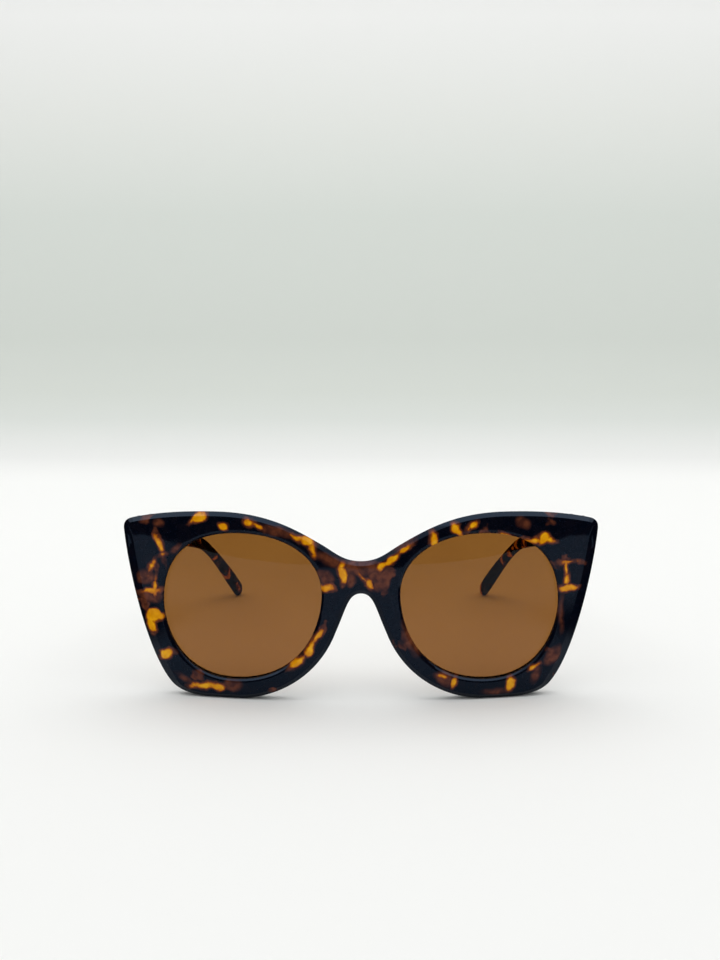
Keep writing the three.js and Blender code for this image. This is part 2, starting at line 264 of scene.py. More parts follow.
# a longer and brighter panel just under it, which shows only as a highlight on what is polished
bright_panel = bpy.data.objects.new("bright_panel", bpy.data.lights.new("bright_panel", "AREA"))
bright_panel.data.shape = "RECTANGLE"
bright_panel.data.size = 4.4
bright_panel.data.size_y = 1.4
bright_panel.data.energy = 36.0
bright_panel.location = (0.0, 0.0, 1.28)
bright_panel.visible_camera = False
bright_panel.visible_diffuse = False
bright_panel.visible_transmission = False
bpy.context.scene.collection.objects.link(bright_panel)

world = bpy.data.worlds.new("room")
bpy.context.scene.world = world
world.use_nodes = True
world.node_tree.nodes["Background"].inputs["Color"].default_value = (0.90, 0.92, 0.93, 1.0)
world.node_tree.nodes["Background"].inputs["Strength"].default_value = 0.55

# ---- front --------------------------------------------------------------------------------
# The front is one moulding of tortoiseshell plastic: both rims, the bridge, the nose pads and
# the thick corners that carry the hinges. It has bevelled edges, a high polish and a slight
# curve round the face. The hinge feet sit in pockets cut into its corners.

MM = 0.001
WRAP_RADIUS = 260.0
FRONT_THICKNESS = 5.0
BEVEL_DEPTH = 1.1
TOP_DRAFT = 0.24
DRAFT_START = 1.2
FLANK_BEVEL = 1.5
FLANK_INNER_X, FLANK_OUTER_X = 50.0, 60.0
FLANK_LOW_Z, FLANK_HIGH_Z = 48.5, 54.5
BRIDGE_TOP = 43.5
BRIDGE_UNDERSIDE = 33.5
BROW_TOP = 58.0
PAD_HALF_SIZE = (2.1, 4.6, 7.4)
PAD_PLACE = (12.2, 5.4, 18.6)
PAD_LEAN, PAD_TIP = -0.3, -0.52
FOOT_LOW, FOOT_HIGH = (62.2, 12.8, 47.0), (66.8, 15.0, 54.2)
POCKET_GAP = 0.3
POCKET_MOUTH = 16.3
SIGHT_FRONT, SIGHT_BACK = 2.2, 11.0
BACK_SHIFT = -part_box("front_frame")[0][1] / MM


def bezier(points, steps):
    """Points along one cubic curve, without the last one."""
    p0, p1, p2, p3 = (np.array(p, float) for p in points)
    t = (np.arange(steps) / steps)[:, None]
    return p0 * (1 - t) ** 3 + 3 * p1 * t * (1 - t) ** 2 + 3 * p2 * t * t * (1 - t) + p3 * t ** 3


def front_outline():
    """The front's outline in x and z, clockwise seen from the front, starting at the brow."""
    curves = [
        [(0, BRIDGE_TOP), (5.5, BRIDGE_TOP), (7.7, 46.1), (12, 48.6)],
        [(12, 48.6), (20.2, 53.4), (28.5, BROW_TOP), (43.5, BROW_TOP)],
        [(43.5, BROW_TOP), (53, BROW_TOP), (62, 57.2), (70, 55.3)],
        [(70, 55.3), (72.4, 54.7), (73.2, 53.5), (73.0, 51.3)],
        [(73.0, 51.3), (71.7, 37.1), (66.1, 12.1), (58.7, 3.9)],
        [(58.7, 3.9), (55.8, 0.7), (50.5, 0), (45.8, 0)],
        [(45.8, 0), (43, 0), (40, 0), (37, 0)],
        [(37, 0), (27, 0.3), (13.1, 6.4), (7.5, 21.8)],
        [(7.5, 21.8), (4.3, 29.2), (3.8, BRIDGE_UNDERSIDE), (0, BRIDGE_UNDERSIDE)],
    ]
    half = np.vstack([bezier(c, 20) for c in curves] + [[(0, BRIDGE_UNDERSIDE)]])
    other = half[1:-1][::-1] * (-1, 1)
    return np.vstack([half, other])


def lens_outline():
    """The left lens opening, clockwise seen from the front."""
    left, top, right, bottom = (11.9, 33.4), (37.1, 51.5), (60.6, 29.4), (38.7, 6.2)
    curves = [
        [left, (left[0], left[1] + 10.2), (top[0] - 15.7, top[1]), top],
        [top, (top[0] + 15.9, top[1]), (right[0], right[1] + 13.4), right],
        [right, (right[0], right[1] - 9.2), (bottom[0] + 16.7, bottom[1]), bottom],
        [bottom, (bottom[0] - 20.4, bottom[1]), (left[0], left[1] - 10.7), left],
    ]
    return np.vstack([bezier(c, 32) for c in curves])


def offset_outline(outline, distance):
    """A clockwise outline moved outwards by a distance, with mitred corners."""
    arriving = outline - np.roll(outline, 1, axis=0)
    leaving = np.roll(outline, -1, axis=0) - outline
    arriving /= np.linalg.norm(arriving, axis=1)[:, None]
    leaving /= np.linalg.norm(leaving, axis=1)[:, None]
    normal = np.stack([-arriving[:, 1], arriving[:, 0]], axis=1)
    mitre = normal + np.stack([-leaving[:, 1], leaving[:, 0]], axis=1)
    mitre /= np.linalg.norm(mitre, axis=1)[:, None]
    return outline + mitre * (distance / (mitre * normal).sum(axis=1))[:, None]


def eased(profile, radius, steps=4):
    """An open profile with each inner corner rounded off."""
    points = [np.array(p, float) for p in profile]
    made = [points[0]]
    for before, corner, after in zip(points, points[1:], points[2:]):
        into = before - corner
        out = after - corner
        reach = min(radius, 0.45 * np.linalg.norm(into), 0.45 * np.linalg.norm(out))
        start = corner + into / np.linalg.norm(into) * reach
        end = corner + out / np.linalg.norm(out) * reach
        for k in range(steps + 1):
            t = k / steps
            made.append(start * (1 - t) ** 2 + 2 * corner * t * (1 - t) + end * t * t)
    made.append(points[-1])
    return made


def inside(points, loop):
    """Which points lie inside a closed loop."""
    hit = np.zeros(len(points), bool)
    for (ax, ay), (bx, by) in zip(loop, np.roll(loop, -1, axis=0)):
        crosses = (ay > points[:, 1]) != (by > points[:, 1])
        if crosses.any():
            at = ax + (points[:, 1] - ay) * (bx - ax) / ((by - ay) or 1e-12)
            hit ^= crosses & (points[:, 0] < at)
    return hit


def cap(outline, holes, y, spacing):
    """A flat face of small triangles between an outline and its holes, at one depth."""
    loops = [outline, *holes]
    rim = np.vstack(loops)
    low, high = outline.min(axis=0), outline.max(axis=0)
    grid = np.stack(np.meshgrid(
        np.arange(low[0], high[0], spacing),
        np.arange(low[1], high[1], spacing),
    ), axis=-1).reshape(-1, 2)
    grid = grid[inside(grid, outline)]
    for hole in holes:
        grid = grid[~inside(grid, hole)]
    nearest = np.array([np.abs(rim - p).max(axis=1).min() for p in grid])
    grid = grid[nearest > 0.45 * spacing]
    edges = []
    start = 0
    for loop in loops:
        edges += [(start + i, start + (i + 1) % len(loop)) for i in range(len(loop))]
        start += len(loop)
    flat, _, faces, *_ = delaunay_2d_cdt(
        [Vector(p) for p in np.vstack([rim, grid])], edges, [], 1, 1e-5)
    flat = np.array([tuple(p) for p in flat])
    middles = np.array([flat[list(f)].mean(axis=0) for f in faces])
    keep = inside(middles, outline)
    for hole in holes:
        keep &= ~inside(middles, hole)
    return [(x, y, z) for x, z in flat], [f for f, kept in zip(faces, keep) if kept]


def wall(outline, profile):
    """The side surface that a profile of (offset, y) sweeps round an outline."""
    count = len(outline)
    points, faces = [], []
    for offset, y in profile:
        points += [(x, y, z) for x, z in offset_outline(outline, offset)]
    for k in range(len(profile) - 1):
        for i in range(count):
            here, there = k * count + i, k * count + (i + 1) % count
            faces.append((here, there, there + count, here + count))
    return points, faces


def joined(parts, merge=0.002):
    """One bmesh from several lots of points and faces, in mm, facing outwards."""
    made = bmesh.new()
    for points, faces in parts:
        verts = [made.verts.new(p) for p in points]
        for face in faces:
            made.faces.new([verts[i] for i in face])
    bmesh.ops.remove_doubles(made, verts=made.verts, dist=merge)
    bmesh.ops.dissolve_degenerate(made, edges=made.edges, dist=merge / 2)
    bmesh.ops.recalc_face_normals(made, faces=made.faces)
    return made


def wrapped(made):
    """Curves a flat bmesh round the face."""
    for vert in made.verts:
        vert.co.y += vert.co.x ** 2 / (2 * WRAP_RADIUS)
    return made


def mirrored(made):
    """The same bmesh on the other side of the nose."""
    twin = made.copy()
    for vert in twin.verts:
        vert.co.x = -vert.co.x
    bmesh.ops.reverse_faces(twin, faces=twin.faces)
    return twin


def to_object(made, name):
    """A bmesh in mm as a scene object in metres, in the CAD's frame."""
    for vert in made.verts:
        vert.co.y -= BACK_SHIFT
        vert.co *= MM
    mesh = bpy.data.meshes.new(name)
    made.to_mesh(mesh)
    made.free()
    item = bpy.data.objects.new(name, mesh)
    bpy.context.scene.collection.objects.link(item)
    return item


def cut_or_join(item, tool, how):
    """Applies a boolean with a tool, and removes the tool."""
    step = item.modifiers.new("step", "BOOLEAN")
    step.operation = how
    step.solver = "EXACT"
    step.object = tool
    graph = bpy.context.evaluated_depsgraph_get()
    mesh = bpy.data.meshes.new_from_object(item.evaluated_get(graph))
    item.modifiers.clear()
    old = item.data
    mesh.name = item.name
    item.data = mesh
    bpy.data.meshes.remove(old)
    bpy.data.objects.remove(tool)


def finish_surface(item, crease=34.0):
    """Smooth shading that stops at real edges."""
    item.data.shade_smooth()
    item.data.set_sharp_from_angle(angle=math.radians(crease))
    even = item.modifiers.new("even_normals", "WEIGHTED_NORMAL")
    even.keep_sharp = True


def box(low, high, ease=0.0):
    """A box between two corners in mm, with its edges rounded."""
    made = bmesh.new()
    bmesh.ops.create_cube(made, size=1.0)
    for vert in made.verts:
        vert.co = [lo + (hi - lo) * (c + 0.5) for lo, hi, c in zip(low, high, vert.co)]
    if ease:
        bmesh.ops.bevel(
            made, geom=made.edges[:], offset=ease, segments=3, profile=0.5, affect="EDGES")
    return made


def front_blank():
    """The bevelled sheet with both lens openings and their grooves.

    Its upper side leans back, and the bevel widens down each outer side.
    """
    outer = front_outline()
    left = lens_outline()
    right = left[::-1] * (-1, 1)
    edge = eased([
        (-1.8, 0.0), (-1.4, 0.0), (0.0, BEVEL_DEPTH), (0.0, 4.5), (-0.5, FRONT_THICKNESS),
        (-0.9, FRONT_THICKNESS),
    ], 0.2)
    rim = eased([
        (1.7, 0.0), (0.85, 0.0), (0.0, 0.8), (0.0, 1.6), (0.9, 1.9), (0.9, 4.3),
        (0.25, 4.6), (0.8, FRONT_THICKNESS), (1.1, FRONT_THICKNESS),
    ], 0.5, 6)
    heading = np.roll(outer, -1, axis=0) - np.roll(outer, 1, axis=0)
    heading /= np.linalg.norm(heading, axis=1)[:, None]
    drafted = TOP_DRAFT * np.clip(heading[:, 0], 0.0, 1.0)
    outwards = (abs(outer[:, 0]) - FLANK_INNER_X) / (FLANK_OUTER_X - FLANK_INNER_X)
    downwards = (FLANK_HIGH_Z - outer[:, 1]) / (FLANK_HIGH_Z - FLANK_LOW_Z)
    flank = np.clip(outwards, 0.0, 1.0) * np.clip(downwards, 0.0, 1.0)
    widened = FLANK_BEVEL * flank * heading[:, 1] ** 2
    edge = [
        (offset - drafted * max(0.0, y - DRAFT_START) - widened * max(0.0, 1.0 - y / BEVEL_DEPTH), y)
        for offset, y in edge
    ]
    parts = [wall(outer, edge)]
    for opening in (left, right):
        parts.append(wall(opening, rim))
    for step, depth in ((0, 0.0), (-1, FRONT_THICKNESS)):
        holes = [offset_outline(o, rim[step][0]) for o in (left, right)]
        parts.append(cap(offset_outline(outer, edge[step][0]), holes, depth, 2.0))
    return wrapped(joined(parts))


def endpiece():
    """The thick corner behind the left brow, flared where it grows out of the front."""
    corner = np.array([
        (60.4, 45.8), (60.4, 55.6), (69.5, 54.5), (71.2, 53.7), (72.0, 51.4), (71.4, 45.8),
    ], float)
    ring = []
    for i, point in enumerate(corner):
        before, after = corner[i - 1], corner[(i + 1) % len(corner)]
        reach_in = min(0.9, 0.4 * np.linalg.norm(before - point))
        reach_out = min(0.9, 0.4 * np.linalg.norm(after - point))
        start = point + (before - point) / np.linalg.norm(before - point) * reach_in
        end = point + (after - point) / np.linalg.norm(after - point) * reach_out
        for k in range(6):
            t = k / 5
            ring.append(start * (1 - t) ** 2 + 2 * point * t * (1 - t) + end * t * t)
    ring = np.array(ring)
    steps = [
        (0.2, 10.2), (0.2, 13.0), (0.12, 13.3), (0.04, 13.6), (0.0, 14.0),
        (0.0, 14.8), (-0.15, 15.1), (-0.5, 15.3),
    ]
    return joined([
        wall(ring, steps),
        cap(offset_outline(ring, steps[0][0]), [], steps[0][1], 3.0),
        cap(offset_outline(ring, steps[-1][0]), [], steps[-1][1], 3.0),
    ])


def nose_pad():
    """The pad moulded onto the back of the left rim beside the nose."""
    made = bmesh.new()
    bmesh.ops.create_uvsphere(made, u_segments=48, v_segments=32, radius=1.0)
    lean = Euler((0.0, 0.0, PAD_LEAN)).to_matrix()
    tip = Euler((0.0, PAD_TIP, 0.0)).to_matrix()
    for vert in made.verts:
        vert.co = Vector([c * half for c, half in zip(vert.co, PAD_HALF_SIZE)])
        vert.co = tip @ (lean @ vert.co) + Vector(PAD_PLACE)
    return made


def sight_line():
    """The space behind the left lens that the corner and the pad must leave clear."""
    outline = lens_outline()
    return wrapped(joined([
        wall(outline, [(0.0, SIGHT_FRONT), (0.0, SIGHT_BACK)]),
        cap(outline, [], SIGHT_FRONT, 4.0),
        cap(outline, [], SIGHT_BACK, 4.0),
    ]))


def foot_pocket():
    """The pocket for the left hinge foot, open to the back."""
    return box(
        [c - POCKET_GAP for c in FOOT_LOW],
        (FOOT_HIGH[0] + POCKET_GAP, POCKET_MOUTH, FOOT_HIGH[2] + POCKET_GAP),
    )


front = to_object(front_blank(), "front")
for shape, how in (
    (endpiece(), "UNION"),
    (nose_pad(), "UNION"),
    (sight_line(), "DIFFERENCE"),
    (foot_pocket(), "DIFFERENCE"),
):
    for made in (shape, mirrored(shape)):
        cut_or_join(front, to_object(made.copy(), "tool"), how)
finish_surface(front)
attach(front, "front")
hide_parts("front_frame")


def new_group(name, inputs, outputs):
    """A shader node group with named sockets; returns the group, its inputs and its outputs."""
    group = bpy.data.node_groups.new(name, "ShaderNodeTree")
    for label, kind, value in inputs:
        socket = group.interface.new_socket(label, in_out="INPUT", socket_type=kind)
        if value is not None:
            socket.default_value = value
    for label, kind in outputs:
        group.interface.new_socket(label, in_out="OUTPUT", socket_type=kind)
    return group, group.nodes.new("NodeGroupInput"), group.nodes.new("NodeGroupOutput")


def noise(tree, place, scale, detail, **more):
    """A solid noise texture at a place."""
    made = node(
        tree, "ShaderNodeTexNoise", noise_dimensions="3D", Scale=scale, Detail=detail, **more)
    tree.links.new(place, made.inputs["Vector"])
    return made


def vector_maths(tree, how, a, b):
    """A Vector Math node; its second term is a socket or plain numbers."""
    made = node(tree, "ShaderNodeVectorMath", operation=how)
    tree.links.new(a, made.inputs[0])
    second = made.inputs["Scale"] if how == "SCALE" else made.inputs[1]
    if isinstance(b, (float, tuple)):
        second.default_value = b
    else:
        tree.links.new(b, second)
    return made.outputs[0]


# the melt: positions in mm, swirled as the colours are when the plastic flows into its mould
melt, entry, leave = new_group(
    "swirled melt",
    [("Shift", "NodeSocketVector", (0.0, 0.0, 0.0)), ("Swirl", "NodeSocketFloat", 2.0)],
    [("Place", "NodeSocketVector")],
)
spot = node(melt, "ShaderNodeTexCoord")
in_mm = vector_maths(melt, "SCALE", spot.outputs["Object"], 1.0 / MM)
shifted = vector_maths(melt, "ADD", in_mm, entry.outputs["Shift"])
eddy = noise(melt, shifted, 0.20, 1.6, Roughness=0.5)
centred = vector_maths(melt, "SUBTRACT", eddy.outputs["Color"], (0.5, 0.5, 0.5))
reach = vector_maths(melt, "SCALE", centred, entry.outputs["Swirl"])
melt.links.new(vector_maths(melt, "ADD", shifted, reach), leave.inputs["Place"])

# the colours: near-black and red-brown clouds, with amber windows that have a red fringe
shell, entry, leave = new_group(
    "tortoiseshell colours",
    [
        ("Place", "NodeSocketVector", None),
        ("Amber window", "NodeSocketFloat", -1.0),
        ("Red cloud", "NodeSocketFloat", -1.0),
        ("Loose amber", "NodeSocketFloat", 0.66),
        ("Loose red", "NodeSocketFloat", 0.57),
    ],
    [("Colour", "NodeSocketColor")],
)
place = entry.outputs["Place"]
elsewhere = vector_maths(shell, "ADD", place, (31.0, 17.0, 53.0))
windows = noise(shell, elsewhere, 0.14, 2.0, Roughness=0.4)
excess = maths(shell, "SUBTRACT", windows.outputs["Fac"], entry.outputs["Loose amber"])
window = maths(shell, "MAXIMUM", maths(shell, "MULTIPLY", excess, 14.0), entry.outputs["Amber window"])
ragged = noise(shell, place, 0.30, 3.0)
window = maths(shell, "ADD", window, stretch(shell, ragged.outputs["Fac"], 0.25, 0.75, -0.42, 0.42))
clouds = noise(shell, place, 0.11, 3.0, Roughness=0.45)
redness = maths(shell, "SUBTRACT", clouds.outputs["Fac"], entry.outputs["Loose red"])
loose_red = stretch(shell, redness, 0.0, 0.06)
placed_red = stretch(shell, entry.outputs["Red cloud"], -0.7, 0.9)
round_windows = stretch(shell, window, -0.9, -0.2)
red = maths(shell, "MAXIMUM", maths(shell, "MAXIMUM", loose_red, placed_red), round_windows)
grain = noise(shell, place, 0.42, 3.0).outputs["Fac"]
dark = blend(
    shell, stretch(shell, grain, 0.35, 0.7), (0.0012, 0.0022, 0.0058), (0.0036, 0.0034, 0.0068))
brown = blend(
    shell, stretch(shell, grain, 0.3, 0.7), (0.046, 0.0135, 0.009), (0.140, 0.040, 0.018))
honey = blend(
    shell, stretch(shell, grain, 0.3, 0.75), (0.68, 0.26, 0.002), (0.88, 0.43, 0.010))
body = blend(shell, red, dark, brown)
fringe = blend(shell, stretch(shell, window, -0.26, 0.0), body, (0.28, 0.066, 0.006))
amber = blend(shell, stretch(shell, window, 0.05, 0.5), (0.50, 0.15, 0.004), honey)
colour = blend(shell, stretch(shell, window, -0.04, 0.09), fringe, amber)
shell.links.new(colour, leave.inputs["Colour"])

# the finger marks and fine rub marks that any polished plastic picks up
handling, entry, leave = new_group(
    "handled gloss",
    [("Polished", "NodeSocketFloat", 0.035), ("Smeared", "NodeSocketFloat", 0.09)],
    [("Roughness", "NodeSocketFloat"), ("Ripple", "NodeSocketFloat")],
)
spot = node(handling, "ShaderNodeTexCoord")
smear = noise(handling, spot.outputs["Object"], 95.0, 3.0, Distortion=0.8)
share = stretch(handling, smear.outputs["Fac"], 0.5, 0.78)
span = maths(handling, "SUBTRACT", entry.outputs["Smeared"], entry.outputs["Polished"])
roughness = maths(handling, "MULTIPLY_ADD", share, span, entry.outputs["Polished"])
handling.links.new(roughness, leave.inputs["Roughness"])
wave = noise(handling, spot.outputs["Object"], 210.0, 1.0)
handling.links.new(wave.outputs["Fac"], leave.inputs["Ripple"])

THROUGH_AND_THROUGH = 400.0


def blotches(tree, place, spots):
    """How many mm inside the edge of the nearest of some long spots a place is."""
    deepest = None
    for x, z, length, width, tilt in spots:
        local = node(
            tree, "ShaderNodeMapping", vector_type="TEXTURE",
            Location=(x, 0.0, z),
            Rotation=(0.0, -math.radians(tilt), 0.0),
            Scale=(length / 2, THROUGH_AND_THROUGH, width / 2),
        )
        tree.links.new(place, local.inputs["Vector"])
        size = node(tree, "ShaderNodeVectorMath", operation="LENGTH")
        tree.links.new(local.outputs[0], size.inputs[0])
        depth = maths(tree, "MULTIPLY_ADD", size.outputs["Value"], -width / 2, width / 2)
        deepest = depth if deepest is None else maths(tree, "MAXIMUM", deepest, depth)
    return deepest


# amber windows and red-brown clouds on the front: x, z, length, width and tilt, mm and degrees
AMBER_WINDOWS = [
    (-49.2, 55.8, 5.2, 2.4, 24), (-51.4, 54.8, 2.4, 1.2, 50), (-41.3, 53.9, 1.9, 2.4, 90),
    (-33.3, 55.0, 3.0, 2.2, 0), (-31.4, 54.3, 3.2, 1.2, -35), (-61.2, 46.6, 5.2, 1.2, -75),
    (-60.4, 44.2, 2.2, 1.2, 30), (-64.0, 25.2, 3.8, 4.4, 80), (-64.4, 21.8, 4.4, 2.4, 95),
    (-62.0, 24.8, 2.4, 2.0, 0), (-60.0, 13.2, 4.8, 2.9, 16), (-48.8, 3.5, 7.0, 2.2, 2),
    (-44.6, 3.7, 6.0, 1.8, -6), (-19.3, 50.5, 4.6, 1.8, -22), (-15.6, 48.9, 4.2, 1.7, -32),
    (-14.3, 47.2, 3.4, 1.9, -80), (-5.5, 39.8, 5.0, 2.7, 92), (-5.3, 42.4, 2.0, 1.6, 90),
    (-10.2, 35.8, 3.2, 2.0, -8), (0.2, 38.6, 3.6, 0.9, -55), (2.1, 36.6, 3.8, 2.0, -55),
    (-13.0, 21.0, 5.0, 1.6, 58), (-14.6, 18.2, 3.6, 1.1, 65), (-15.9, 15.9, 2.8, 2.1, 75),
    (6.6, 42.3, 4.4, 2.0, 30), (10.0, 44.9, 5.2, 1.8, 44), (12.9, 47.3, 4.2, 1.6, 36),
    (21.6, 50.2, 4.2, 2.5, 108), (28.5, 53.8, 2.8, 2.3, 110), (29.4, 52.4, 2.2, 1.1, 125),
    (33.2, 54.2, 2.6, 2.0, 40), (32.1, 53.0, 2.0, 1.0, 75), (52.6, 49.0, 5.6, 1.4, 2),
    (55.6, 49.7, 3.4, 2.6, 70), (57.2, 48.9, 2.6, 1.4, -20), (43.0, 51.0, 2.0, 0.7, -10),
    (64.1, 41.5, 3.0, 0.9, 0), (63.0, 39.6, 3.6, 0.7, 88), (63.2, 36.4, 3.4, 1.5, 92),
    (63.6, 33.7, 5.2, 2.2, 0), (24.8, 7.6, 2.4, 1.0, -40), (28.4, 5.6, 2.6, 2.0, 70),
    (46.0, 4.4, 4.0, 2.6, 85), (53.2, 9.3, 2.2, 0.8, 30), (-66.0, 32.4, 4.6, 0.9, 8),
    (-63.3, 35.4, 4.4, 0.8, 84), (-64.3, 40.2, 3.4, 0.7, 60), (-19.6, 12.2, 4.4, 1.4, 40),
]
RED_CLOUDS = [
    (-66.2, 37.0, 5.4, 4.2, 0), (-64.8, 31.0, 6.6, 3.8, 0), (-25.8, 52.6, 12.0, 3.0, -16),
    (-9.0, 43.8, 11.0, 2.8, -24), (-0.3, 41.8, 11.0, 4.8, 0), (5.2, 37.8, 7.0, 6.6, 0),
    (-10.8, 39.0, 5.0, 4.0, -30), (15.2, 19.6, 11.0, 4.4, -66), (25.6, 6.8, 6.8, 4.0, -28),
    (59.0, 12.8, 6.8, 3.8, 58), (54.2, 6.8, 5.4, 2.6, 70), (49.0, 54.4, 4.0, 2.6, -40),
    (-61.6, 54.2, 2.8, 2.4, 0), (-56.4, 46.4, 3.2, 2.0, 40), (-19.2, 12.4, 6.0, 3.0, 40),
    (-39.4, 4.2, 5.0, 3.0, 0), (-54.4, 5.4, 5.0, 1.6, -35), (61.8, 26.0, 9.0, 1.4, 86),
    (41.0, 2.2, 7.0, 1.8, 0), (-3.0, 38.0, 3.0, 4.0, 0), (13.2, 49.6, 7.0, 1.8, 30),
]


def tortoise(name, shift, swirl, loose_amber, loose_red, polished, smeared, windows=(), clouds=()):
    """Polished tortoiseshell plastic, with any windows and clouds that have a set place."""
    material, tree, shader = new_material(name)
    melted = node(tree, "ShaderNodeGroup", node_tree=melt, Shift=shift, Swirl=swirl)
    tones = node(
        tree, "ShaderNodeGroup", node_tree=shell, Loose_amber=loose_amber, Loose_red=loose_red)
    tree.links.new(melted.outputs["Place"], tones.inputs["Place"])
    for label, spots in (("Amber window", windows), ("Red cloud", clouds)):
        if spots:
            tree.links.new(blotches(tree, melted.outputs["Place"], spots), tones.inputs[label])
    tree.links.new(tones.outputs["Colour"], shader.inputs["Base Color"])
    gloss = node(
        tree, "ShaderNodeGroup", node_tree=handling, Polished=polished, Smeared=smeared)
    tree.links.new(gloss.outputs["Roughness"], shader.inputs["Roughness"])
    ripple = node(tree, "ShaderNodeBump", Strength=0.02, Distance=0.0004)
    tree.links.new(gloss.outputs["Ripple"], ripple.inputs["Height"])
    tree.links.new(ripple.outputs["Normal"], shader.inputs["Normal"])
    shader.inputs["IOR"].default_value = 1.49
    shader.inputs["Specular IOR Level"].default_value = 0.19
    # the bluish specular tint is a painted reflection colour, standing in for the bluish light that the
    # polished plastic mirrors
    shader.inputs["Specular Tint"].default_value = (0.45, 0.66, 1.0, 1.0)
    return material


tortoise_front = tortoise(
    "tortoise_front", shift=(0.0, 0.0, 0.0), swirl=2.6, loose_amber=0.80, loose_red=0.63,
    polished=0.03, smeared=0.07, windows=AMBER_WINDOWS, clouds=RED_CLOUDS,
)
front.data.materials.clear()
front.data.materials.append(tortoise_front)

# ---- lenses -------------------------------------------------------------------------------
# Each lens is a curved sheet of brown tinted plastic, 1.8 mm thick with a chamfered edge,
# snapped into the groove of its rim. Its colour is a little darker towards the top.

LENS_FRONT, LENS_BACK = 2.2, 4.0
LENS_REACH = 0.84
LENS_CHAMFER = 0.24


def lens_body():
    """The left lens, reaching into the groove all round."""
    edge = eased([
        (-0.2, LENS_FRONT), (LENS_REACH - LENS_CHAMFER, LENS_FRONT),
        (LENS_REACH, LENS_FRONT + LENS_CHAMFER), (LENS_REACH, LENS_BACK - LENS_CHAMFER),
        (LENS_REACH - LENS_CHAMFER, LENS_BACK), (-0.2, LENS_BACK),
    ], 0.08, 2)
    outline = lens_outline()
    return wrapped(joined([
        wall(outline, edge),
        cap(offset_outline(outline, edge[0][0]), [], edge[0][1], 2.5),
        cap(offset_outline(outline, edge[-1][0]), [], edge[-1][1], 2.5),
    ]))


brown_lens, tree, shader = new_material("brown_lens")
spot = node(tree, "ShaderNodeTexCoord")
dust = noise(tree, spot.outputs["Object"], 60.0, 5.0)
height = node(tree, "ShaderNodeSeparateXYZ")
tree.links.new(spot.outputs["Object"], height.inputs[0])
level = stretch(tree, height.outputs["Z"], 0.006, 0.052)
tint_by_height = blend(tree, level, (0.282, 0.124, 0.038), (0.217, 0.091, 0.0185))
dusty = stretch(tree, dust.outputs["Fac"], 0.3, 0.7, 0.0, 0.12)
tree.links.new(blend(tree, dusty, tint_by_height, (0.30, 0.14, 0.035)), shader.inputs["Base Color"])
tree.links.new(stretch(tree, dust.outputs["Fac"], 0.55, 0.9, 0.0, 0.03), shader.inputs["Roughness"])
# the specular tint dims the lens reflections and paints them slightly bluish, a painted reflection
# colour standing in for the bluish light they mirror
shader.inputs["Specular Tint"].default_value = (0.20, 0.24, 0.30, 1.0)
shader.inputs["Transmission Weight"].default_value = 1.0
shader.inputs["IOR"].default_value = 1.50
for side, shape in (("left", lens_body()), ("right", mirrored(lens_body()))):
    lens = to_object(shape, f"lens_{side}_tinted")
    finish_surface(lens, 12.0)
    lens.data.materials.append(brown_lens)
    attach(lens, "front")
    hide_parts(f"lens_{side}")

# ---- temples ------------------------------------------------------------------------------
# Each temple is one moulded bar of the same plastic: deep at the hinge, slim where it reaches
# the ear, and a little wider at its tip, which turns down and in. A pocket in its inner face
# takes the hinge leaf.

TEMPLE_START = Vector((69.1, 11.6, 51.5))
TEMPLE_BEND = Vector((61.8, 95.0, 30.5))
TEMPLE_TIP = Vector((51.5, 137.8, 1.12))
TEMPLE_BUTT = 15.6
TIP_ROUNDING = 3.0
BUTT_HEIGHT, WAIST_SLIMMING, TIP_WIDENING = 8.6, 4.4, 2.2
BUTT_THICKNESS, WAIST_THINNING, TIP_THICKENING = 3.8, 0.7, 0.6
BAR_STATIONS, TIP_STATIONS = 130, 10
POINTS_AROUND = 56
LEAF_LOW, LEAF_HIGH = (67.2, 16.2, 47.9), (68.3, 25.5, 53.3)


def eased_step(value, low, high):
    """From 0 at the low value to 1 at the high one, eased at both ends."""
    t = min(1.0, max(0.0, (value - low) / (high - low)))
    return t * t * (3 - 2 * t)


def squared(value, power):
    """A cosine or sine raised to a power that squares a circle off."""
    return math.copysign(abs(value) ** power, value)


def temple_line():
    """Closely spaced points along the middle of the left temple, and how far along each is."""
    along = (TEMPLE_BEND - TEMPLE_START).normalized()
    tipward = Vector((-0.23, 0.72, -0.66)).normalized()
    straight = [TEMPLE_START.lerp(TEMPLE_BEND, k / 200) for k in range(200)]
    drop = bezier([TEMPLE_BEND, TEMPLE_BEND + along * 17, TEMPLE_TIP - tipward * 12, TEMPLE_TIP], 160)
    points = np.array([tuple(p) for p in straight] + [tuple(p) for p in drop] + [tuple(TEMPLE_TIP)])
    steps = np.linalg.norm(np.diff(points, axis=0), axis=1)
    return points, np.concatenate([[0.0], np.cumsum(steps)])


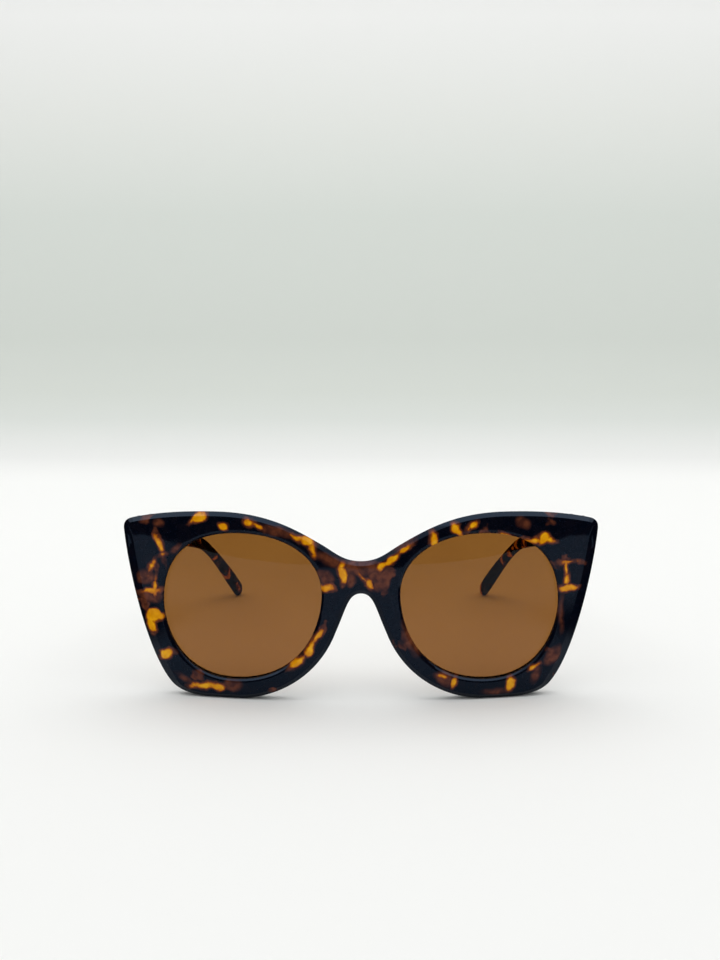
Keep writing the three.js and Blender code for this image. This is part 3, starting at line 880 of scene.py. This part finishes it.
def temple_bar():
    """The rounded bar, square at its butt end and domed at its tip."""
    points, travelled = temple_line()
    length = travelled[-1]
    around = POINTS_AROUND

    def on_line(at):
        """The point that far along the middle of the bar."""
        at = min(length, max(0.0, at))
        return Vector([float(np.interp(at, travelled, points[:, i])) for i in range(3)])

    first = float(np.interp(TEMPLE_BUTT, points[:, 1], travelled))
    stations = list(np.linspace(first + 0.5, length - TIP_ROUNDING, BAR_STATIONS))
    for k in range(1, TIP_STATIONS + 1):
        stations.append(length - TIP_ROUNDING * math.cos(math.pi / 2 * k / TIP_STATIONS))
    rings = []
    for index, at in enumerate([first, first + 0.15, *stations]):
        centre = on_line(at)
        tangent = (on_line(at + 0.6) - on_line(at - 0.6)).normalized()
        side = (Vector((1, 0, 0)) - tangent * tangent.x).normalized()
        up = side.cross(tangent)
        part = at / length
        height = BUTT_HEIGHT - WAIST_SLIMMING * eased_step(part, 0.02, 0.55)
        height += TIP_WIDENING * eased_step(part, 0.72, 0.95)
        thickness = BUTT_THICKNESS - WAIST_THINNING * eased_step(part, 0.05, 0.6)
        thickness += TIP_THICKENING * eased_step(part, 0.75, 0.95)
        power = 0.62 + 0.30 * eased_step(part, 0.3, 0.75)
        into_tip = max(0.0, 1 - (length - at) / TIP_ROUNDING)
        dome = math.sqrt(max(0.0, 1 - into_tip ** 2))
        inset = (0.45, 0.18)[index] if index < 2 else 0.0
        upright = 1.0 - eased_step(at, first + 2, first + 22)
        ring = []
        for i in range(around):
            angle = 2 * math.pi * i / around
            across = squared(math.cos(angle), power) * (thickness / 2 - inset) * dome
            upwards = squared(math.sin(angle), power) * (height / 2 - inset) * dome
            reach = side * across + up * upwards
            ring.append(centre + reach - tangent * (reach.y / tangent.y) * upright)
        rings.append(ring)
    verts = [p for ring in rings[:-1] for p in ring]
    faces = []
    for k in range(len(rings) - 2):
        for i in range(around):
            here, there = k * around + i, k * around + (i + 1) % around
            faces.append((here, there, there + around, here + around))
    faces.append(tuple(range(around)))
    last = (len(rings) - 2) * around
    verts.append(Vector(tuple(TEMPLE_TIP)))
    for i in range(around):
        faces.append((last + i, last + (i + 1) % around, len(verts) - 1))
    return joined([(verts, faces)], merge=0.0005)


tortoise_temple = tortoise(
    "tortoise_temple", shift=(95.0, 20.0, 60.0), swirl=5.0, loose_amber=0.635, loose_red=0.61,
    polished=0.035, smeared=0.09,
)

# the inner face is cut flat where the leaf lies, and the pocket opens inwards and forwards
leaf_side = box((60.0, 0.0, 40.0), (LEAF_LOW[0], 26.5, 60.0))
leaf_pocket = box(
    (64.2, 14.3, LEAF_LOW[2] - POCKET_GAP),
    [c + POCKET_GAP for c in LEAF_HIGH],
)
for side in ("left", "right"):
    bar = temple_bar()
    tools = [leaf_side.copy(), leaf_pocket.copy()]
    if side == "right":
        bar = mirrored(bar)
        tools = [mirrored(t) for t in tools]
    temple = to_object(bar, f"temple_{side}_bar")
    for tool in tools:
        cut_or_join(temple, to_object(tool, "tool"), "DIFFERENCE")
    finish_surface(temple)
    temple.data.materials.clear()
    temple.data.materials.append(tortoise_temple)
    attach(temple, f"{side}_temple")
    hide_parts(f"temple_{side}")

# ---- hinges -------------------------------------------------------------------------------
# Five-barrel steel hinges. The front half has three barrels on a foot sunk into the corner of
# the front; the temple half has two on a leaf set into the temple. Both halves are milled
# from bar, with their edges taken off, and faintly brushed along their length.

HINGE_X, HINGE_Y, HINGE_Z = 65.5, 17.2, 50.6
BARREL_RADIUS = 1.4
BARREL_HEIGHT = 1.2
BARREL_PITCH = 1.5
BORE_RADIUS = 0.78
BORE_LOW, BORE_HIGH = 45.0, 56.5
WEB_HALF = 0.8
PLATE_EASE = 0.12
BARREL_EASE = 0.12


def turned(profile, segments=48):
    """A body turned about the hinge axis, from (radius, height) points that start and end on it."""
    made = bmesh.new()
    rings = []
    for radius, height in profile:
        rings.append([
            made.verts.new((
                HINGE_X + radius * math.cos(2 * math.pi * i / segments),
                HINGE_Y + radius * math.sin(2 * math.pi * i / segments),
                height,
            )) for i in range(segments)
        ])
    for lower, upper in zip(rings, rings[1:]):
        for i in range(segments):
            j = (i + 1) % segments
            made.faces.new((lower[i], lower[j], upper[j], upper[i]))
    bmesh.ops.remove_doubles(made, verts=made.verts, dist=0.001)
    bmesh.ops.recalc_face_normals(made, faces=made.faces)
    return made


def barrel(index):
    """One barrel, counted from the bottom: its lowest and highest z, and its unbored body."""
    middle = HINGE_Z + (index - 2) * BARREL_PITCH
    low, high = middle - BARREL_HEIGHT / 2, middle + BARREL_HEIGHT / 2
    return low, high, turned([
        (0.0, low), (BARREL_RADIUS - BARREL_EASE, low), (BARREL_RADIUS, low + BARREL_EASE),
        (BARREL_RADIUS, high - BARREL_EASE), (BARREL_RADIUS - BARREL_EASE, high), (0.0, high),
    ])


def hinge_half(name, plate, indexes, web):
    """A plate with its barrels and their webs, bored through."""
    half = to_object(plate, name)
    for index in indexes:
        low, high, drum = barrel(index)
        cut_or_join(half, to_object(box(*web(low, high), ease=0.06), "tool"), "UNION")
        cut_or_join(half, to_object(drum, "tool"), "UNION")
    bore = turned([
        (0.0, BORE_LOW), (BORE_RADIUS, BORE_LOW), (BORE_RADIUS, BORE_HIGH), (0.0, BORE_HIGH),
    ])
    cut_or_join(half, to_object(bore, "tool"), "DIFFERENCE")
    return half


def mirror_mesh(item):
    """Turns a left-hand piece into its right-hand twin."""
    made = bmesh.new()
    made.from_mesh(item.data)
    twin = mirrored(made)
    twin.to_mesh(item.data)
    made.free()
    twin.free()


# fine brushing along the piece, and patches of tarnish that are duller than the clean steel
brushing, entry, leave = new_group(
    "brushed metal",
    [("Bright", "NodeSocketFloat", 0.24), ("Dull", "NodeSocketFloat", 0.42)],
    [("Tarnish", "NodeSocketFloat"), ("Roughness", "NodeSocketFloat"), ("Scratches", "NodeSocketFloat")],
)
spot = node(brushing, "ShaderNodeTexCoord")
along = node(brushing, "ShaderNodeMapping", Scale=(9000.0, 900.0, 9000.0))
brushing.links.new(spot.outputs["Object"], along.inputs["Vector"])
lines = noise(brushing, along.outputs[0], 1.0, 3.0)
brushing.links.new(lines.outputs["Fac"], leave.inputs["Scratches"])
stain = noise(brushing, spot.outputs["Object"], 420.0, 4.0).outputs["Fac"]
brushing.links.new(stretch(brushing, stain, 0.45, 0.75), leave.inputs["Tarnish"])
spread = maths(brushing, "SUBTRACT", entry.outputs["Dull"], entry.outputs["Bright"])
roughness = maths(brushing, "MULTIPLY_ADD", stain, spread, entry.outputs["Bright"])
brushing.links.new(roughness, leave.inputs["Roughness"])


def steel(name, clean, tarnished, bright, dull):
    """A steel finish from its clean and tarnished colours and its two roughnesses."""
    material, tree, shader = new_material(name)
    finish = node(tree, "ShaderNodeGroup", node_tree=brushing, Bright=bright, Dull=dull)
    tree.links.new(blend(tree, finish.outputs["Tarnish"], clean, tarnished), shader.inputs["Base Color"])
    tree.links.new(finish.outputs["Roughness"], shader.inputs["Roughness"])
    bump = node(tree, "ShaderNodeBump", Strength=0.25, Distance=0.00002)
    tree.links.new(finish.outputs["Scratches"], bump.inputs["Height"])
    tree.links.new(bump.outputs["Normal"], shader.inputs["Normal"])
    shader.inputs["Metallic"].default_value = 1.0
    return material


hinge_steel = steel("hinge_steel", (0.58, 0.56, 0.53), (0.40, 0.37, 0.33), 0.22, 0.42)
for side in ("left", "right"):
    front_half = hinge_half(
        f"front_hinge_{side}_half",
        box(FOOT_LOW, FOOT_HIGH, ease=PLATE_EASE),
        (0, 2, 4),
        lambda low, high: (
            (HINGE_X - WEB_HALF, 14.0, low),
            (HINGE_X + WEB_HALF, HINGE_Y, high),
        ),
    )
    temple_half = hinge_half(
        f"temple_hinge_{side}_half",
        box(LEAF_LOW, LEAF_HIGH, ease=PLATE_EASE),
        (1, 3),
        lambda low, high: (
            (HINGE_X, HINGE_Y - WEB_HALF, low),
            ((LEAF_LOW[0] + LEAF_HIGH[0]) / 2, HINGE_Y + WEB_HALF, high),
        ),
    )
    for half, body, stands_for in (
        (front_half, "front", f"front_hinge_{side}"),
        (temple_half, f"{side}_temple", f"temple_hinge_{side}"),
    ):
        if side == "right":
            mirror_mesh(half)
        finish_surface(half, 28.0)
        half.data.materials.clear()
        half.data.materials.append(hinge_steel)
        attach(half, body)
        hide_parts(stands_for)

# ---- screws -------------------------------------------------------------------------------
# One slotted screw is the pin of each hinge, dropped in from above. It is turned from
# bright steel, with a low head whose top edge is rounded.

SCREW_RADIUS = 0.7
SCREW_LOW = 46.6
HEAD_RADIUS = 1.2
HEAD_LOW = 54.5
HEAD_HIGH = 55.0
SLOT_HALF_WIDTH = 0.2
SLOT_DEPTH = 0.35

screw_steel = steel("screw_steel", (0.66, 0.65, 0.63), (0.50, 0.47, 0.43), 0.14, 0.30)
for side in ("left", "right"):
    screw = to_object(turned([
        (0.0, SCREW_LOW), (SCREW_RADIUS - 0.2, SCREW_LOW), (SCREW_RADIUS, SCREW_LOW + 0.2),
        (SCREW_RADIUS, HEAD_LOW), (HEAD_RADIUS - 0.06, HEAD_LOW), (HEAD_RADIUS, HEAD_LOW + 0.06),
        (HEAD_RADIUS, HEAD_HIGH - 0.3), (HEAD_RADIUS - 0.04, HEAD_HIGH - 0.16),
        (HEAD_RADIUS - 0.15, HEAD_HIGH - 0.06), (HEAD_RADIUS - 0.32, HEAD_HIGH), (0.0, HEAD_HIGH),
    ]), f"hinge_screw_{side}_pin")
    slot_cut = box(
        (HINGE_X - 2, HINGE_Y - SLOT_HALF_WIDTH, HEAD_HIGH - SLOT_DEPTH),
        (HINGE_X + 2, HINGE_Y + SLOT_HALF_WIDTH, HEAD_HIGH + 1),
    )
    cut_or_join(screw, to_object(slot_cut, "tool"), "DIFFERENCE")
    if side == "right":
        mirror_mesh(screw)
    finish_surface(screw, 28.0)
    screw.data.materials.clear()
    screw.data.materials.append(screw_steel)
    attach(screw, "front")
    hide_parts(f"hinge_screw_{side}")
